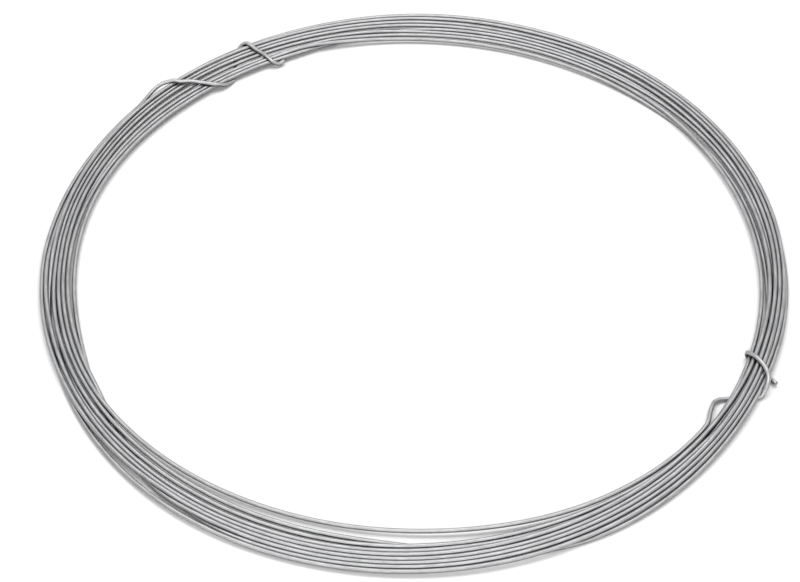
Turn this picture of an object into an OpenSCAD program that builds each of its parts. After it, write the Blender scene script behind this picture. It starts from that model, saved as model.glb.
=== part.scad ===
// Utility wire: a hoop of round steel wire, held together by its own two wrapped ends.
// The wire is one piece. Seen from above it winds anticlockwise and inwards. Every half turn is
// an arc of a circle, and the centres alternate between two points half a pitch apart, so each
// half turn runs smoothly into the next, as in a spiral drawn with a compass.

/* [Wire] */
// Diameter of the wire (10 gauge)
wire_d = 3.43; // [2:0.01:6]
// Clear gap between one stretch of the wire and the next
wire_gap = 0.22; // [0.1:0.01:1]

/* [Hoop] */
// Radius of the hoop, from its centre to the middle of the outermost turn
hoop_r = 296; // [200:1:600]
// Whole turns from the point where the outer end joins the hoop
whole_turns = 8; // [3:1:14]
// Angle where the outer end joins the hoop, anticlockwise from the right
outer_join = 144; // [125:1:175]
// Angle where the inner end leaves the hoop, anticlockwise from the right
inner_join = 324; // [275:1:330]

/* [Outer end] */
// Length of hoop along which the outer end climbs on to the turns
bow_run = 55; // [40:1:90]
// How far it bows outwards as it climbs
bow = 2; // [0:0.5:10]
// Length of hoop that its first crossing covers
first_over = 34; // [10:1:60]
// Length of hoop that it covers under the turns
outer_under = 21; // [10:1:60]
// Length of hoop that its second crossing covers
second_over = 21; // [10:1:60]
// Length of hoop covered by the cut end, which hooks down and under the inner side
hook = 9; // [4:1:20]

/* [Inner end] */
// Length of hoop along which the inner end swings down to pass under the turns
loop_run = 30; // [25:1:60]
// How far it loops into the hole as it swings
loop = 7; // [0:0.5:20]
// Length of hoop that it covers under the turns
inner_under = 12; // [5:1:40]
// Length of hoop that it covers round the outside of the turns
outside = 14; // [5:1:40]
// Length of hoop that its crossing covers
inner_over = 23; // [10:1:60]
// Length of hoop that the cut end comes back by, under the turns
come_back = 16; // [5:1:30]
// Length of the cut end that sticks out past the turns
stub = 7; // [2:0.5:20]

/* [Hidden] */

// Sides of the wire along its wrapped ends
WIRE_SIDES = 8;
// How much slimmer a wrapped end is than the turn it grows from, and how far inside it starts
END_STEP = 0.04;
END_ROOT = 2;
// Length of hoop covered where an end turns closely round a side of the bundle
CLOSE_TURN = 3;
// Steps along a quarter round a side, straight across the bundle, and along a bow or loop
TURN_STEPS = 3;
CROSS_STEPS = 4;
SWING_STEPS = 8;

pitch = wire_d + wire_gap;
end_r = wire_d / 2 - END_STEP;
// The ends pass under the turns and rest on the floor, so the turns lie one pitch higher
turn_z = end_r + pitch;
// Angles are counted on past each full circle, and so are the half turns
wire_finish = 360 * whole_turns + inner_join;
first_half = floor(outer_join / 180);
last_half = ceil(wire_finish / 180) - 1;
// Turns that run past both joins, in half turns
full_halves = 2 * floor((wire_finish - outer_join) / 360);
// These put the middle of the hoop's outline on the origin
hoop_x = pitch / 2;
hoop_y = pitch / 4;

// Half turn h: even ones run round the back of the hoop and odd ones round its front
function half_r(h) = hoop_r - h * pitch / 2;
function half_x(h) = hoop_x - (h % 2) * pitch / 2;

function unit(v) = v / norm(v);
// The part of v that is square to the direction t
function square_to(v, t) = unit(v - (v * t) * t);

// An end goes round the bundle one pitch from its outermost and innermost turns, in six stages:
// 0 outer side to top, 1 in across the top, 2 top to inner side, 3 inner side to bottom,
// 4 out across the bottom, 5 bottom to outer side. This gives the radius and the height at
// part t of stage k.
function wrap_place(k, t, r_in, r_out) =
    k == 1 ? [r_out + (r_in - r_out) * t, pitch]
    : k == 4 ? [r_in + (r_out - r_in) * t, -pitch]
    : let (middle = k == 0 || k == 5 ? r_out : r_in, a = [0, 0, 90, 180, 0, 270][k] + 90 * t)
      [middle + pitch * cos(a), pitch * sin(a)];

function wrap_steps(k) = k == 1 || k == 4 ? CROSS_STEPS : TURN_STEPS;

// [length along the hoop, radius, height] at every step of an end that starts with stage first
// and covers runs[i] of the hoop in its stage i. It swings out by swing during its first stage.
function wrap_route(first, runs, swing, r_in, r_out) = [
    for (i = [0 : len(runs) - 1])
        let (
            k = (first + i) % 6,
            steps = i == 0 ? SWING_STEPS : wrap_steps(k),
            before = [for (j = [0 : 1 : i - 1]) runs[j]],
            start = len(before) == 0 ? 0 : before * [for (b = before) 1]
        )
        for (n = [1 : steps])
            let (
                t = n / steps,
                place = wrap_place(k, t, r_in, r_out),
                out = i == 0 ? swing * pow(sin(180 * t), 2) : 0
            )
            [start + runs[i] * t, place[0] + out, place[1]]
];

// Evens out the lengths along the hoop, so that an end doesn't kink where its lean changes
function even_out(route, passes) =
    passes == 0 ? route
    : even_out([
        for (i = [0 : len(route) - 1])
            i == 0 || i == len(route) - 1 ? route[i]
            : [(route[i - 1][0] + 2 * route[i][0] + route[i + 1][0]) / 4, route[i][1], route[i][2]]
      ], passes - 1);

// Point in space of a step that lies at the given length along the hoop from a join
function hoop_point(step, join, way, middle_x) =
    let (a = join + way * step[0] / hoop_r * 180 / PI)
    [middle_x + step[1] * cos(a), hoop_y + step[1] * sin(a), turn_z + step[2]];

// Tube along the points, with its rings square to the way it runs
module wire_along(points) {
    last = len(points) - 1;
    ways = [for (i = [0 : last]) unit(points[min(i + 1, last)] - points[max(i - 1, 0)])];
    ups = [
        for (i = 0, up = square_to([0, 0, 1], ways[0]); i <= last;
             i = i + 1, up = i > last ? up : square_to(up, ways[i]))
            up
    ];
    rings = [
        for (i = [0 : last], n = [0 : WIRE_SIDES - 1])
            let (a = 360 * (n + 0.5) / WIRE_SIDES)
            points[i] + end_r * (cos(a) * ups[i] + sin(a) * cross(ways[i], ups[i]))
    ];
    sides = [
        for (i = [0 : last - 1], n = [0 : WIRE_SIDES - 1])
            let (m = (n + 1) % WIRE_SIDES, a = i * WIRE_SIDES, b = a + WIRE_SIDES)
            each [[a + n, b + n, a + m], [a + m, b + n, b + m]]
    ];
    start_cap = [for (n = [0 : WIRE_SIDES - 1]) n];
    finish_cap = [for (n = [WIRE_SIDES - 1 : -1 : 0]) last * WIRE_SIDES + n];
    polyhedron(rings, concat(sides, [start_cap, finish_cap]));
}

// The turns, half by half, from where the outer end joins to where the inner end leaves
module turns() {
    for (h = [first_half : last_half]) {
        from = max(outer_join, 180 * h);
        to = min(wire_finish, 180 * (h + 1));
        translate([half_x(h), hoop_y, turn_z])
            rotate_extrude(angle = to - from, start = from % 360, $fn = 180)
                translate([half_r(h), 0])
                    circle(d = wire_d, $fn = 24);
    }
}

// The outer end climbs over the turns, goes round them once and hooks over their inner side
module outer_end() {
    r_first = half_r(first_half);
    route = wrap_route(
        0, [bow_run, first_over, CLOSE_TURN, CLOSE_TURN, outer_under, CLOSE_TURN, CLOSE_TURN,
            second_over, hook / 2, hook / 2],
        bow, half_r(first_half + full_halves), half_r(first_half + 2));
    steps = even_out(concat([[0, r_first, 0]], route), 3);
    wire_along([
        for (step = concat([[-END_ROOT, r_first, 0]], steps))
            hoop_point(step, outer_join, -1, half_x(first_half))
    ]);
}

// The inner end loops into the hole, passes under the turns, goes round them once and sticks out
module inner_end() {
    r_last = half_r(last_half);
    route = wrap_route(
        3, [loop_run, inner_under, outside / 2, outside / 2, inner_over, CLOSE_TURN, -CLOSE_TURN,
            -come_back],
        -loop, half_r(last_half - 2), half_r(last_half - full_halves));
    tip = route[len(route) - 1] + [-CLOSE_TURN, stub + wire_d / 2, 0];
    steps = even_out(concat([[0, r_last, 0]], route, [tip]), 3);
    wire_along([
        for (step = concat([[-END_ROOT, r_last, 0]], steps))
            hoop_point(step, inner_join, 1, half_x(last_half))
    ]);
}

// The whole wire
module wire() {
    color("silver") {
        turns();
        outer_end();
        inner_end();
    }
}

wire();
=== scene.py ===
# Utility wire: the real winding of the hoop, its wrapped ends and its galvanised finish.
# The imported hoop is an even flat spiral. Here the same wire has as many turns and the same two
# wrapped ends, but its turns spread, bunch up and pass under each other.
import math
import numpy as np
import bpy
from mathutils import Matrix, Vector


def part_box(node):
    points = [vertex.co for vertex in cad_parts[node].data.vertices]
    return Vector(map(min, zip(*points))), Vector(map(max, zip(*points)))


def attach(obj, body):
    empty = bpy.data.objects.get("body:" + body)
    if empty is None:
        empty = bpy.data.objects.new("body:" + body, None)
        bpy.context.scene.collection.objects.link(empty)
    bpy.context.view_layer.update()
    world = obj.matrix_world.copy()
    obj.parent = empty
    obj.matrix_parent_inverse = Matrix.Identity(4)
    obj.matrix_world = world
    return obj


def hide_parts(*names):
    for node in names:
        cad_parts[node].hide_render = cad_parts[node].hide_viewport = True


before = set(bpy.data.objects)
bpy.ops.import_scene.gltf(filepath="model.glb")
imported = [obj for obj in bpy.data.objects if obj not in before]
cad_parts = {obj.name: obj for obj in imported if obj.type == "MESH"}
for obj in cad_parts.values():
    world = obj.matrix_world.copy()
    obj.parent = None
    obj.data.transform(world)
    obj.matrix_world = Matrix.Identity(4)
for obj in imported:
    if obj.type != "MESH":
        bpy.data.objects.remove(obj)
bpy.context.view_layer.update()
low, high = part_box("wire")

# Lengths are in metres and angles in degrees. "In wires" means in thicknesses of the wire.
# ---- Driving sizes ----
WIRE = 0.00343                                   # diameter of the wire
OUTER_JOIN = 144                                 # the outer end joins the hoop at this angle
INNER_JOIN = 324                                 # the inner end leaves the hoop at this angle
TURNS = 8                                        # whole turns between the joins, and a half more
SPREAD = 3.45                                    # mid-line to outline at the sides, in wires
MID_R = (high[0] - low[0]) / 2 - SPREAD * WIRE   # radius of the bundle's mid-line
MIDDLE = Vector(((high[0] + low[0]) / 2, (high[1] + low[1]) / 2, 0))

# ---- How the strands settle against each other ----
ON_FLOOR = 0.5                                   # height of a strand on the floor, in wires
LIFTED = [(114.5, 129.5), (326.5, 340)]          # angles where the ends pass under the bundle
LIFT_RUN = 16                                    # it comes down over this angle beside them
PASSES = 260                                     # rounds of settling
PLAN_PASSES = 200                                # the first rounds also pull towards the plan
SMOOTH_PASSES = 254                              # all but the last few smooth the strands
PULL = 0.06                                      # share of the way to the plan in each round
PUSH = 0.3                                       # share of an overlap that each strand gives way
CLEAR = 1.005                                    # least distance between strands, in wires
REST_SQUARE = 1.04                               # an end's distance to strands below, squared

# ---- The wire's mesh ----
TURN_POINTS = slice(1, -4, 2)                    # every second degree, short of the ends
CURVE_GAP = 0.0008                               # between the points that draw the curve
RING_GAP = 0.004                                 # between the rings of the mesh
BEND = 0.16                                      # radians after which a ring comes sooner
BEND_GAP = 0.0006                                # though never sooner than this
SHORT = 1e-4                                     # a shorter last stretch is left out
TINY = 1e-9                                      # anything closer than this is in one place
SIDES = 12                                       # sides of the tube
UPRIGHT = 0.3                                    # how fast its rings turn back upright
BEVEL = 0.12                                     # length of the bevel at a cut end, in wires
CUT_WIDTH = 0.8                                  # width of the cut face, in wires
END_HIGHLIGHT_RUN = 0.18                                    # length of the painted highlight at each end
END_HIGHLIGHT_FADE = 0.02                                  # the last of it, over which it fades

# ---- How the turns lie ----
# Height of the layer that most strands lie in, in wires, as (angle, height) round the hoop. The
# wrapped ends lift it, and between them it sinks towards the floor.
LAYER = [(0, 1.45), (32, 1.45), (60, 1.1), (88, 1.1), (104, 1.5), (140, 1.55), (230, 1.5),
         (244, 1.0), (260, 0.95), (272, 1.45), (292, 1.45), (306, 1.25), (322, 1.55), (342, 1.55),
         (360, 1.45)]
# Each row gives, at one angle, the places of the strands across the bundle: (wires outwards from
# the mid-line, wires above the layer). Nine strands run round the left and the front.
LEFT = {
    146: [(2.5, 0.1), (2.0, -0.8), (1.9, 0.9), (1.3, 0), (0.2, 0), (-1.1, 0), (-4.6, 0),
          (-3.6, 0), (-2.4, 0)],
    152: [(2.5, 0), (1.75, -0.5), (1.4, 0.85), (0.85, 0), (-0.1, 0), (-1.0, 0), (-4.2, 0),
          (-3.25, 0), (-2.3, 0)],
    167: [(2.85, 0), (1.9, 0), (1.4, 0.85), (0.85, 0), (-0.3, 0), (-1.5, 0), (-3.8, 0),
          (-2.7, 0), (-2.1, -0.85)],
    174: [(2.9, 0), (1.9, 0), (1.3, 0.7), (0.5, 0), (-0.55, 0), (-1.45, 0), (-4.1, -0.4),
          (-2.5, 0), (-1.0, -0.9)],
    182: [(3.1, -0.2), (2.2, 0.2), (1.2, 0.1), (0.25, 0), (-0.7, 0), (-1.6, 0), (-4.1, -0.5),
          (-2.6, 0), (-0.2, -0.95)],
    191: [(3.3, 0), (2.1, 0), (1.8, -0.95), (0.9, 0), (-0.6, 0), (-1.65, 0), (-4.2, -0.5),
          (-2.85, 0), (0.2, -0.75)],
    198: [(3.4, 0), (2.0, 0), (2.6, -0.95), (0.8, 0), (-0.3, 0), (-1.4, 0), (-4.0, -0.5),
          (-2.6, 0), (0.9, -0.95)],
    206: [(3.3, 0), (1.9, 0), (3.5, -0.95), (0.7, 0), (-0.6, 0), (-1.7, 0), (-3.4, -0.9),
          (-2.8, -0.1), (1.3, -0.85)],
    214: [(3.3, 0), (2.5, 0.2), (4.3, -0.8), (0.7, 0), (-0.8, 0), (-1.9, 0), (-1.4, -0.95),
          (-2.6, -0.95), (1.7, -0.2)],
    222: [(3.2, 0), (2.3, 0.2), (4.8, -0.6), (0.2, 0), (-1.3, 0), (-2.6, 0), (2.2, -0.95),
          (-0.3, -0.95), (1.4, 0)],
    230: [(3.4, 0.1), (2.5, 0), (5.8, -0.3), (-0.1, 0), (-1.45, 0), (-3.2, 0), (4.2, -0.5),
          (3.0, -0.95), (1.6, 0)],
    241: [(3.0, 0.1), (2.1, 0), (5.9, 0), (-0.35, 0), (-1.75, 0), (-4.15, 0), (4.0, 0),
          (4.95, 0), (1.2, 0)],
    256: [(2.5, 0), (1.55, 0.1), (5.55, 0), (-0.9, 0), (-2.3, 0), (-5.0, 0), (3.45, 0),
          (4.5, 0), (0.6, 0)],
    270: [(2.2, 0), (1.25, 0.1), (5.35, 0), (-0.65, 0), (-2.35, -0.3), (-5.0, 0), (3.1, 0),
          (4.25, 0), (0.3, 0)],
    277: [(1.8, 0), (0.85, 0.1), (5.05, 0), (-1.5, 0), (-0.4, -0.95), (-4.7, 0), (2.7, 0),
          (3.85, 0), (-0.3, 0)],
    284: [(1.4, 0), (0.6, 0.4), (4.7, 0), (-1.7, 0), (4.0, -0.95), (-4.2, 0), (2.25, 0),
          (3.4, 0), (-0.35, 0)],
    291: [(0.95, 0), (0.2, 0.6), (4.3, 0), (-1.65, 0), (5.0, -0.75), (-3.4, 0), (1.8, 0),
          (2.95, 0), (-0.55, 0)],
    299: [(0.2, 0), (-0.85, 0.3), (3.7, 0), (-1.95, 0), (4.9, -0.6), (-3.05, 0), (1.25, 0),
          (2.4, 0), (-0.75, -0.75)],
    309: [(0.1, 0), (-0.9, 0.4), (2.9, 0.1), (-1.85, 0), (3.9, -0.5), (-2.75, 0), (0.9, 0.4),
          (1.8, 0), (-0.5, -0.75)],
    319: [(-0.5, 0.7), (-1.45, 0.7), (2.2, 0.1), (-0.9, -0.2), (3.15, -0.2), (-2.1, 0),
          (0.4, 0.7), (1.3, 0.4), (0.2, -0.2)],
}
# Eight strands run on round the right and the back, with their angles counted on past 360
RIGHT = {
    329: [(2.3, 0), (1.3, 0), (0.8, 0.85), (-0.25, 0.85), (0.3, 0), (-1.5, 0.8), (-0.8, 0),
          (-2.3, 0)],
    343: [(2.35, -0.2), (1.6, 0.4), (0.7, 0.4), (-0.3, 0.4), (0.2, -0.5), (-1.35, 0.4),
          (-0.85, -0.5), (-2.75, -0.1)],
    358: [(2.8, -0.9), (2.2, 0), (1.3, 0), (0.2, 0), (-0.3, -0.7), (-1.0, 0), (-2.2, -0.6),
          (-3.1, 0)],
    378: [(2.8, -0.9), (3.4, 0), (2.4, 0), (1.3, 0), (0.1, 0), (-0.9, 0), (-2.1, -0.5),
          (-3.5, 0)],
    388: [(1.3, -0.9), (3.8, 0), (2.8, 0), (1.7, 0), (0.2, 0), (-0.9, 0), (-2.1, -0.6),
          (-3.2, 0)],
    399: [(0.5, -0.9), (4.1, 0), (3.1, 0), (2.0, 0), (0.3, 0), (-1.1, 0), (-3.1, -0.9),
          (-3.0, 0)],
    409: [(-0.5, -0.5), (4.6, 0), (3.6, 0), (2.6, 0), (0.6, 0), (-1.5, 0), (-4.2, 0),
          (-2.8, 0)],
    419: [(-0.6, 0), (4.7, 0), (3.65, 0), (2.6, -0.1), (0.6, 0), (-1.7, 0), (-4.6, 0),
          (-2.9, 0)],
    429: [(-0.4, 0), (4.75, 0), (3.6, 0), (1.9, -0.3), (0.75, 0), (-1.6, 0), (-4.8, 0),
          (-2.9, 0)],
    440: [(-0.5, 0), (4.85, 0), (3.7, 0), (2.2, -0.1), (0.7, 0), (-1.8, -0.3), (-4.9, 0),
          (-3.1, 0)],
    450: [(-0.1, 0), (5.0, 0.1), (3.8, 0), (2.3, 0), (1.1, 0), (-1.6, -0.2), (-4.7, 0),
          (-3.1, 0)],
    460: [(-1.1, -0.9), (4.0, 0), (2.95, 0), (1.8, 0), (0.5, 0), (-1.5, 0), (-4.4, 0),
          (-3.0, 0)],
    466: [(-3.6, -0.9), (3.6, 0), (2.6, 0.2), (1.5, 0), (0.3, 0), (-1.2, 0), (-4.1, 0),
          (-3.0, 0)],
    471: [(-5.0, -0.1), (3.5, 0), (2.5, 0.3), (1.5, 0), (0.4, 0), (-1.0, 0), (-3.9, 0),
          (-2.9, 0)],
    478: [(-4.8, 0), (3.3, 0), (2.5, 0.35), (1.7, 0), (0.5, 0), (-0.9, 0), (-3.8, 0), (-2.8, 0)],
    492: [(-5.0, 0), (2.9, 0), (2.4, 0.4), (1.8, 0), (0.5, 0), (-1.5, 0), (-4.0, 0), (-2.9, 0)],
    501: [(-4.9, 0), (2.7, -0.5), (2.4, 0.45), (1.9, 0), (0.7, 0), (-1.1, 0), (-3.9, 0), (-2.6, 0)],
}
# The strand that each turn takes in those rows, from the outer end of the wire to its inner end
LEFT_STRAND = [0, 4, 6, 3, 8, 7, 2, 1, 5]
RIGHT_STRAND = [4, 0, 3, 7, 6, 2, 1, 5]

# The wrapped ends, as (angle, place, distance, height) in wires. At "out" and "in" the distance is
# from the outermost or innermost strand, away from the bundle. At "top" and "bottom" it is the
# share of the way from the outside of the bundle to its inside. The height is that of the wire's
# middle above the floor, but at "top" it counts from where the wire rests on the strands.
OUTER_END = [
    (142.9, "out", 0.65, 1.6), (141.4, "out", 1.0, 1.6), (139.9, "out", 1.4, 1.65),
    (138.9, "out", 1.65, 1.75), (138.1, "out", 1.7, 2.0), (137.3, "out", 1.45, 2.35),
    (136.6, "out", 0.95, 2.7), (135.9, "out", 0.3, 2.85), (135.1, "top", 0.1, -0.05),
    (134.4, "top", 0.23, 0.4), (133.6, "top", 0.38, 0.5), (132.8, "top", 0.53, 0.4),
    (132.1, "top", 0.67, 0.3), (131.2, "top", 0.83, 0.1), (130.2, "in", 0.2, 2.45),
    (129.3, "in", 0.75, 2.1), (128.5, "in", 1.0, 1.5), (127.5, "in", 0.85, 1.0),
    (126.5, "in", 0.5, 0.65), (125.6, "bottom", 0.98, 0.5), (124.5, "bottom", 0.72, 0.5),
    (123.3, "bottom", 0.4, 0.5), (121.9, "bottom", 0.04, 0.5), (121.1, "out", 0.75, 0.8),
    (120.7, "out", 0.95, 1.3), (120.2, "out", 0.7, 2.1), (119.7, "out", -0.25, 2.8),
    (119.1, "top", 0.34, 0), (118.6, "top", 0.59, 0), (118.2, "top", 0.82, -0.05),
    (117.7, "in", 0.75, 2.1), (117.1, "in", 1.1, 1.45), (116.5, "in", 1.25, 1.1),
    (115.9, "in", 1.1, 1.1), (115.4, "in", 0.95, 1.25),
]
INNER_END = [
    (321.7, "in", 0.1, 1.5), (322.9, "in", 0.65, 1.4), (324.3, "in", 1.4, 1.2),
    (325.6, "in", 2.75, 1.05), (326.6, "in", 2.85, 0.9), (327.5, "in", 2.25, 0.75),
    (328.2, "in", 1.3, 0.6), (328.9, "bottom", 0.95, 0.5), (329.7, "bottom", 0.6, 0.5),
    (330.4, "bottom", 0.2, 0.5), (331.3, "out", 0.55, 0.75), (332.0, "out", 0.95, 1.5),
    (332.7, "out", 1.05, 2.3), (333.5, "out", 0.9, 2.9), (334.4, "out", 0.35, 3.1),
    (335.2, "top", 0.07, 0.45), (335.8, "top", 0.27, 0), (336.4, "top", 0.5, 0),
    (337.0, "top", 0.74, 0.1), (337.6, "in", 0.1, 2.8), (338.1, "in", 0.85, 2.0),
    (338.1, "in", 0.8, 1.0), (337.7, "bottom", 0.93, 0.5), (337.0, "bottom", 0.55, 0.5),
    (336.1, "bottom", 0.15, 0.5), (335.2, "out", 0.8, 0.65), (334.5, "out", 2.35, 1.05),
]


def eased(share):
    """A share from 0 to 1 with a gentle start and finish."""
    return share * share * (3 - 2 * share)


def smooth_through(at, stations, values):
    """Values at those angles, eased through the stations without overshooting them."""
    steps = np.diff(stations)
    slopes = np.diff(values) / steps
    # The grade at a station is the harmonic mean of the slopes beside it, or level at a peak
    grades = np.zeros(len(values))
    same = slopes[:-1] * slopes[1:] > 0
    mean = 2 * slopes[:-1] * slopes[1:] / np.where(same, slopes[:-1] + slopes[1:], 1)
    grades[1:-1] = np.where(same, mean, 0)
    i = np.clip(np.searchsorted(stations, at, side="right") - 1, 0, len(steps) - 1)
    step = steps[i]
    t = np.clip((at - stations[i]) / step, 0, 1)
    before, after = values[i], values[i + 1]
    return (before + eased(t) * (after - before)
            + step * t * (1 - t) * ((1 - t) * grades[i] - t * grades[i + 1]))


def planned_turns():
    """Angle, place and height of the turns at every degree, as the rows above say."""
    knots = []
    for turn, strand in enumerate(LEFT_STRAND):
        knots += [(angle + 360 * turn, *row[strand]) for angle, row in LEFT.items()]
    for turn, strand in enumerate(RIGHT_STRAND):
        knots += [(angle + 360 * turn, *row[strand]) for angle, row in RIGHT.items()]
    knots = np.array(sorted(knots), dtype=float)
    layer = np.array(LAYER)
    angles = np.arange(OUTER_JOIN, 360 * TURNS + INNER_JOIN + 1, dtype=float)
    places = smooth_through(angles, knots[:, 0], knots[:, 1])
    heights = smooth_through(angles, knots[:, 0], knots[:, 2])
    heights += smooth_through(angles % 360, layer[:, 0], layer[:, 1])
    return angles, np.stack([places, heights], axis=1)


def ground(angles):
    """Lowest height of a strand's middle, in wires: the wrapped ends lift the bundle."""
    lifted = np.zeros_like(angles)
    for first, last in LIFTED:
        a = angles % 360
        away = np.maximum(np.maximum(first - a, a - last), 0)
        lifted = np.maximum(lifted, np.clip(1 - away / LIFT_RUN, 0, 1))
    return ON_FLOOR + eased(lifted)


def settle(angles, plan):
    """Pushes the strands apart until none runs into another or into the ground."""
    now = plan.copy()
    floor = ground(angles)
    for n in range(PASSES):
        if n < PLAN_PASSES:
            now += PULL * (plan - now)
        push = np.zeros_like(now)
        for turn in range(1, TURNS + 1):
            apart = now[360 * turn:] - now[:-360 * turn]
            gap = np.maximum(np.hypot(apart[:, 0], apart[:, 1]), TINY)
            need = np.maximum(CLEAR - gap, 0) / gap
            push[360 * turn:] += PUSH * need[:, None] * apart
            push[:-360 * turn] -= PUSH * need[:, None] * apart
        now += push
        now[:, 1] = np.maximum(now[:, 1], floor)
        if n < SMOOTH_PASSES:
            # A weighted mean over five degrees of the strand
            around = now[:-4] + 4 * now[1:-3] + 6 * now[2:-2] + 4 * now[3:-1] + now[4:]
            now[2:-2] = around / 16
    return now


def at_angle(turns, angle):
    """The strands at an angle, as rows of place and height."""
    found = (np.arange(len(turns)) - (angle - OUTER_JOIN)) % 360
    return turns[(found < 1) | (found > 359)]


def across(turns, angle, place, distance, height):
    """A point of a wrapped end, as wires outwards from the mid-line and above the floor."""
    strands = at_angle(turns, angle)
    outside, inside = strands[:, 0].max(), strands[:, 0].min()
    if place == "out":
        return outside + distance, height
    if place == "in":
        return inside - distance, height
    here = outside + (inside - outside) * distance
    if place == "bottom":
        return here, height
    away_square = (strands[:, 0] - here) ** 2
    below = away_square < REST_SQUARE
    resting = strands[below, 1] + np.sqrt(REST_SQUARE - away_square[below])
    return here, height + resting.max()


def in_space(angle, place, height):
    """The point at that angle, place and height, in metres."""
    r = MID_R + place * WIRE
    turn = math.radians(angle)
    return MIDDLE + Vector((r * math.cos(turn), r * math.sin(turn), height * WIRE))


def wire_route():
    """Middle of the wire from the tip of its outer end to the tip of its inner end."""
    angles, plan = planned_turns()
    turns = settle(angles, plan)
    outer = [in_space(p[0], *across(turns, *p)) for p in OUTER_END]
    inner = [in_space(p[0], *across(turns, *p)) for p in INNER_END]
    body = [in_space(a, *p) for a, p in zip(angles, turns)]
    route = curve_through(outer[::-1] + body[TURN_POINTS] + inner)
    for point in route:
        point.z = max(point.z, low[2] + WIRE / 2)
    return even_spacing(route)


def curve_through(points):
    """Close points along a smooth curve (a centripetal Catmull-Rom spline) through all of them."""
    curve = []
    ends = [2 * points[0] - points[1]] + points + [2 * points[-1] - points[-2]]
    for a, b, c, d in zip(ends, ends[1:], ends[2:], ends[3:]):
        before = math.sqrt((b - a).length) + TINY
        span = math.sqrt((c - b).length) + TINY
        after = math.sqrt((d - c).length) + TINY
        leave = span * ((b - a) / before - (c - a) / (before + span) + (c - b) / span)
        arrive = span * ((c - b) / span - (d - b) / (span + after) + (d - c) / after)
        count = max(2, int((c - b).length / CURVE_GAP))
        for n in range(count):
            t = n / count
            curve.append((2 * t ** 3 - 3 * t * t + 1) * b + (t ** 3 - 2 * t * t + t) * leave
                         + (3 * t * t - 2 * t ** 3) * c + (t ** 3 - t * t) * arrive)
    return curve + [points[-1]]


def even_spacing(points):
    """The points for the rings of the mesh: RING_GAP apart, and closer where the line bends."""
    kept = [points[0]]
    way = (points[1] - points[0]).normalized()
    run = 0
    for before, point in zip(points, points[1:]):
        step = point - before
        run += step.length
        if step.length < TINY:
            continue
        heading = step.normalized()
        if run >= RING_GAP or (heading.angle(way) > BEND and run > BEND_GAP):
            kept.append(point)
            way = heading
            run = 0
    if (kept[-1] - points[-1]).length > SHORT:
        kept.append(points[-1])
    return kept


def tube_rings(route):
    """Rings as (middle, way, up, run along the wire, width in wires), from one cut to the other."""
    ways = [(b - a).normalized() for a, b in zip([route[0]] + route[:-1], route[1:] + [route[-1]])]
    up = Vector((0, 0, 1))
    run = 0
    rings = []
    for i, (point, way) in enumerate(zip(route, ways)):
        run += (point - route[max(i - 1, 0)]).length
        up = up + UPRIGHT * Vector((0, 0, 1))
        up = (up - up.dot(way) * way).normalized()
        rings.append((point, way, up, run, 1.0))
    start, start_way, start_up = rings[0][:3]
    finish, finish_way, finish_up = rings[-1][:3]
    bevel = BEVEL * WIRE
    first = (start - start_way * bevel, start_way, start_up, 0, CUT_WIDTH)
    last = (finish + finish_way * bevel, finish_way, finish_up, run, CUT_WIDTH)
    return [first] + rings + [last]


def end_highlight_share(run, length):
    """Share of the painted highlight at a place, from 0 to 1, by its run along the wire."""
    return min(max((END_HIGHLIGHT_RUN - min(run, length - run)) / END_HIGHLIGHT_FADE, 0), 1)


def wire_mesh():
    """Round tube along the wire's route, with sheared and slightly bevelled cut ends."""
    rings = tube_rings(wire_route())
    length = rings[-1][3]
    corners = [2 * math.pi * n / SIDES for n in range(SIDES)]
    verts, runs, spots = [], [], []
    for point, way, up, run, width in rings:
        side = way.cross(up)
        for a in corners:
            verts.append(point + width * WIRE / 2 * (math.cos(a) * up + math.sin(a) * side))
            runs.append(run)
            spots += [math.cos(a), math.sin(a), 0]
    faces = []
    for a in range(0, (len(rings) - 1) * SIDES, SIDES):
        b = a + SIDES
        for n in range(SIDES):
            m = (n + 1) % SIDES
            faces.append((a + n, a + m, b + m, b + n))
    faces.append(tuple(range(SIDES - 1, -1, -1)))
    faces.append(tuple(range(len(verts) - SIDES, len(verts))))
    # The bevels and the two cut faces take the second material
    cut = np.zeros(len(faces), dtype=np.int32)
    cut[:SIDES] = 1
    cut[-SIDES - 2:] = 1
    mesh = bpy.data.meshes.new("wire_wound")
    mesh.from_pydata(verts, [], faces)
    # The run along the wire, and the share of the painted highlight at its two ends
    for name, values in (("along", runs), ("painted_end_highlight", [end_highlight_share(run, length) for run in runs])):
        attribute = mesh.attributes.new(name, "FLOAT", "POINT")
        attribute.data.foreach_set("value", values)
    attribute = mesh.attributes.new("round", "FLOAT_VECTOR", "POINT")
    attribute.data.foreach_set("vector", spots)
    mesh.polygons.foreach_set("use_smooth", [len(face) == 4 for face in faces])
    mesh.polygons.foreach_set("material_index", cut)
    mesh.update()
    return mesh


# ---- Materials ----
WHITE = (1, 1, 1)
BLACK = (0, 0, 0)
# Colours as (value, colour) along what they follow: noise, or how open a place is to the light
ZINC = [(0.30, (0.29, 0.29, 0.295)), (0.55, (0.375, 0.375, 0.38)), (0.75, (0.455, 0.455, 0.46))]
STREAKS = [(0.35, (0.55, 0.55, 0.56)), (0.55, (0.95, 0.95, 0.95)), (0.8, WHITE)]
SPECKS = [(0.26, (0.30, 0.30, 0.31)), (0.36, WHITE)]
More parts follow.
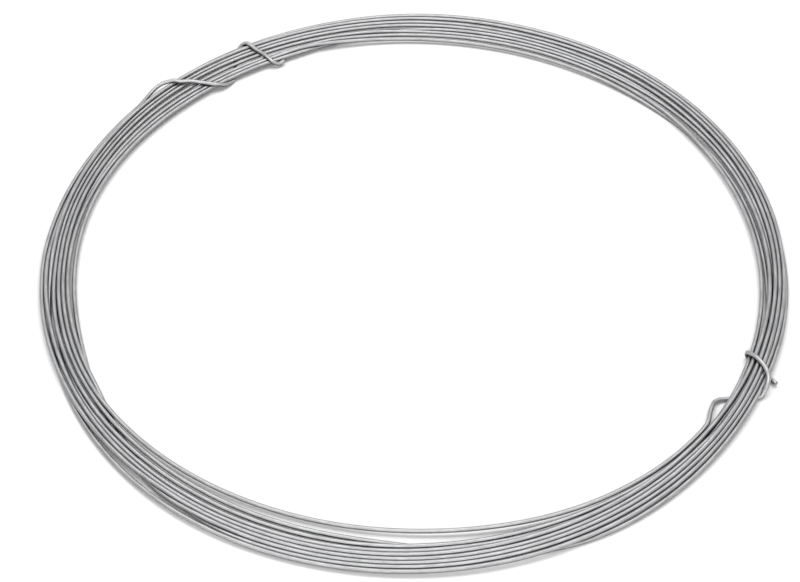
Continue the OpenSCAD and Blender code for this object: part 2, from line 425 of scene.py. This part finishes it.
# Painted shade for the grooves between strands, by how open a place is to the light
PAINTED_GROOVE_SHADE = [(0.2, (0.03, 0.03, 0.03)), (0.56, WHITE)]
ZINC_ROUGHNESS = [(0.25, (0.38, 0.38, 0.38)), (0.75, (0.54, 0.54, 0.54))]
STEEL = [(0.3, (0.16, 0.16, 0.17)), (0.7, (0.36, 0.36, 0.37))]
STEEL_ROUGHNESS = [(0.2, (0.35, 0.35, 0.35)), (0.8, (0.6, 0.6, 0.6))]
END_HIGHLIGHT_GAIN = 1.12                                  # how much brighter the painted highlight makes the wrapped ends
PAINTED_SHADE_REACH = 0.004                             # how far away a strand casts the painted groove shade
FLOOR_WHITE = (0.95, 0.95, 0.95, 1)
SHADOW_REACH = 0.45                              # the floor's shadow shows out to here,
WHITE_FROM = 0.8                                 # and from here it is white


class Nodes:
    """Short way to make and link the nodes of a material or world."""

    def __init__(self, tree):
        self.tree = tree

    def put(self, socket, value):
        """Links a value that comes from another node, or sets a constant one."""
        if isinstance(value, bpy.types.NodeSocket):
            self.tree.links.new(value, socket)
        else:
            socket.default_value = value

    def add(self, kind, inputs=(), **settings):
        """A new node of that kind."""
        node = self.tree.nodes.new(kind)
        for key, value in settings.items():
            setattr(node, key, value)
        for key, value in dict(inputs).items():
            self.put(node.inputs[key], value)
        return node

    def ramp(self, value, stops):
        """The colour at that value, between the stops."""
        node = self.add("ShaderNodeValToRGB", {"Fac": value})
        elements = node.color_ramp.elements
        while len(elements) < len(stops):
            elements.new(0.5)
        for element, (at, colour) in zip(elements, stops):
            element.position = at
            element.color = (*colour, 1)
        return node.outputs["Color"]

    def multiply(self, share, colour, other):
        """The colour darkened or brightened by the other one, by that share."""
        node = self.add("ShaderNodeMix", data_type="RGBA", blend_type="MULTIPLY")
        inputs = {socket.identifier: socket for socket in node.inputs}
        self.put(inputs["Factor_Float"], share)
        self.put(inputs["A_Color"], colour)
        self.put(inputs["B_Color"], other)
        return next(s for s in node.outputs if s.identifier == "Result_Color")

    def math(self, operation, a, b):
        return self.add("ShaderNodeMath", {0: a, 1: b}, operation=operation).outputs[0]

    def attribute(self, name, output="Fac"):
        return self.add("ShaderNodeAttribute", attribute_name=name).outputs[output]

    def object_place(self):
        return self.add("ShaderNodeTexCoord").outputs["Object"]

    def noise(self, where, **inputs):
        """Grey noise at that place."""
        named = {key.capitalize(): value for key, value in inputs.items()}
        return self.add("ShaderNodeTexNoise", {"Vector": where, **named}).outputs["Fac"]

    def bump(self, height, strength, distance):
        inputs = {"Height": height, "Strength": strength, "Distance": distance}
        return self.add("ShaderNodeBump", inputs).outputs["Normal"]

    def background_rays(self):
        """1 for rays from the camera and in reflections, which see white all round."""
        rays = self.add("ShaderNodeLightPath").outputs
        return self.math("MAXIMUM", rays["Is Camera Ray"], rays["Is Glossy Ray"])

    def surface(self, **inputs):
        """Sets or links the inputs of the material's own shader."""
        shader = self.tree.nodes["Principled BSDF"]
        for key, value in inputs.items():
            self.put(shader.inputs[key.replace("_", " ")], value)


def new_material(name):
    """A material and its nodes."""
    material = bpy.data.materials.new(name)
    material.use_nodes = True
    return material, Nodes(material.node_tree)


def galvanised():
    """Zinc coat on drawn wire: dull grey with streaks along it, pale bloom and dark specks. Painted
    shade darkens its underside and grooves, and a painted highlight brightens its wrapped ends.
    """
    material, n = new_material("galvanised_wire")
    along = n.attribute("along")
    girth = n.add("ShaderNodeSeparateXYZ", {0: n.attribute("round", "Vector")})
    upwards, sideways = girth.outputs[:2]

    def place(stretch, width):
        """Place on the wire, with its length and its girth at their own scales."""
        x = n.math("MULTIPLY", upwards, width)
        y = n.math("MULTIPLY", sideways, width)
        z = n.math("MULTIPLY", along, stretch)
        return n.add("ShaderNodeCombineXYZ", {0: x, 1: y, 2: z}).outputs[0]

    bloom = n.noise(place(60, 0.8), scale=1.0, detail=4.0, roughness=0.6)
    streak = n.noise(place(90, 4.5), scale=1.6, detail=3.0, roughness=0.55)
    speck = n.noise(place(900, 2.2), scale=1.0, detail=2.0, roughness=0.5)
    tone = n.multiply(0.8, n.ramp(bloom, ZINC), n.ramp(streak, STREAKS))
    tone = n.multiply(0.8, tone, n.ramp(speck, SPECKS))
    # Painted shade: the wire's colour is darkened towards its underside, where less light reaches
    under = {"Value": upwards, "From Min": -0.45, "From Max": 0.2, "To Min": 0.22, "To Max": 1.0}
    painted_underside_shade = n.add("ShaderNodeMapRange", under, interpolation_type="SMOOTHSTEP").outputs["Result"]
    tone = n.multiply(1.0, tone, painted_underside_shade)
    # Painted shade in the grooves: where strands lie close, the colour is darkened as if shut out
    # of the light
    painted_groove_shade = n.add("ShaderNodeAmbientOcclusion", {"Distance": PAINTED_SHADE_REACH}, samples=8)
    tone = n.multiply(1.0, tone, n.ramp(painted_groove_shade.outputs["AO"], PAINTED_GROOVE_SHADE))
    # Painted highlight: the wrapped ends are brightened
    tone = n.multiply(n.attribute("painted_end_highlight"), tone, (END_HIGHLIGHT_GAIN, END_HIGHLIGHT_GAIN, END_HIGHLIGHT_GAIN, 1))
    height = n.math("ADD", n.math("MULTIPLY", streak, 0.6), n.math("MULTIPLY", speck, 0.4))
    n.surface(Base_Color=tone, Metallic=0.95, Roughness=n.ramp(bloom, ZINC_ROUGHNESS),
              Normal=n.bump(height, strength=0.35, distance=0.0001))
    return material


def cut_steel():
    """Bare sheared steel at the wire's two ends: darker, with shear lines."""
    material, n = new_material("cut_steel")
    lines = n.noise(n.object_place(), scale=2400.0, detail=3.0, distortion=0.6)
    n.surface(Base_Color=n.ramp(lines, STEEL), Metallic=0.9,
              Roughness=n.ramp(lines, STEEL_ROUGHNESS),
              Normal=n.bump(lines, strength=0.5, distance=0.0002))
    return material


def paper():
    """White table that takes the wire's soft shadow."""
    material, n = new_material("white_table")
    where = n.object_place()
    grain = n.noise(where, scale=900.0, detail=2.0)
    # Farther out than the shadow reaches, it is as white as the background
    distance = n.add("ShaderNodeVectorMath", {0: where}, operation="LENGTH").outputs["Value"]
    far = n.ramp(distance, [(SHADOW_REACH, BLACK), (WHITE_FROM, WHITE)])
    n.surface(Base_Color=FLOOR_WHITE, Roughness=0.85, Specular_IOR_Level=0.1,
              Normal=n.bump(grain, strength=0.05, distance=0.0001),
              Emission_Color=(*WHITE, 1),
              Emission_Strength=n.math("MULTIPLY", n.background_rays(), far))
    return material


# ---- The wire ----
def make_wire():
    wire = bpy.data.objects.new("wire_wound", wire_mesh())
    bpy.context.scene.collection.objects.link(wire)
    wire.data.materials.append(galvanised())
    wire.data.materials.append(cut_steel())
    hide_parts("wire")
    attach(wire, "root")


# ---- Studio ----
FLOOR_SIZE = 8
ROOM_STRENGTH = 0.3                              # of the world's own light on the wire
CAMERA_LIFT = 47.2                               # angle of the view above the floor
CAMERA_REACH = 1.65                              # distance from the camera to what it aims at
CAMERA_AIM = Vector((-0.0121, -0.0312, 0))
CAMERA_LENS = 94.3                               # in millimetres


def make_floor():
    bpy.ops.mesh.primitive_plane_add(size=FLOOR_SIZE, location=(0, 0, float(low[2])))
    floor = bpy.context.object
    floor.name = "floor"
    floor.data.materials.append(paper())


def make_world():
    """Lights the wire as a dim white room, and shows plain white to the background rays."""
    world = bpy.data.worlds.new("studio")
    bpy.context.scene.world = world
    world.use_nodes = True
    n = Nodes(world.node_tree)
    n.tree.nodes.clear()
    room = n.add("ShaderNodeBackground", {"Color": (*WHITE, 1), "Strength": ROOM_STRENGTH})
    white = n.add("ShaderNodeBackground", {"Color": (*WHITE, 1), "Strength": 1})
    shades = {0: n.background_rays(), 1: room.outputs[0], 2: white.outputs[0]}
    both = n.add("ShaderNodeMixShader", shades)
    n.add("ShaderNodeOutputWorld", {"Surface": both.outputs[0]})


def aim(thing, place, target):
    """Puts a lamp or camera at the place, turned towards the target."""
    thing.location = place
    thing.rotation_euler = (Vector(target) - Vector(place)).to_track_quat("-Z", "Y").to_euler()
    bpy.context.scene.collection.objects.link(thing)


def area_light(name, place, target, size, power):
    data = bpy.data.lights.new(name, "AREA")
    data.shape = "RECTANGLE"
    data.size, data.size_y = size
    data.energy = power
    aim(bpy.data.objects.new(name, data), place, target)


def make_camera():
    data = bpy.data.cameras.new("camera")
    data.lens = CAMERA_LENS
    camera = bpy.data.objects.new("camera", data)
    lift = math.radians(CAMERA_LIFT)
    back = Vector((0, -math.cos(lift), math.sin(lift)))
    aim(camera, CAMERA_AIM + CAMERA_REACH * back, CAMERA_AIM)
    bpy.context.scene.camera = camera


make_wire()
make_floor()
make_world()
area_light("softbox", place=(0, 0.35, 1.6), target=(0, 0, 0), size=(2.0, 1.0), power=25)
area_light("fill", place=(0, -1.1, 0.75), target=(0, -0.3, 0), size=(2.4, 0.8), power=13)
make_camera()
bpy.context.scene.view_settings.view_transform = "Standard"
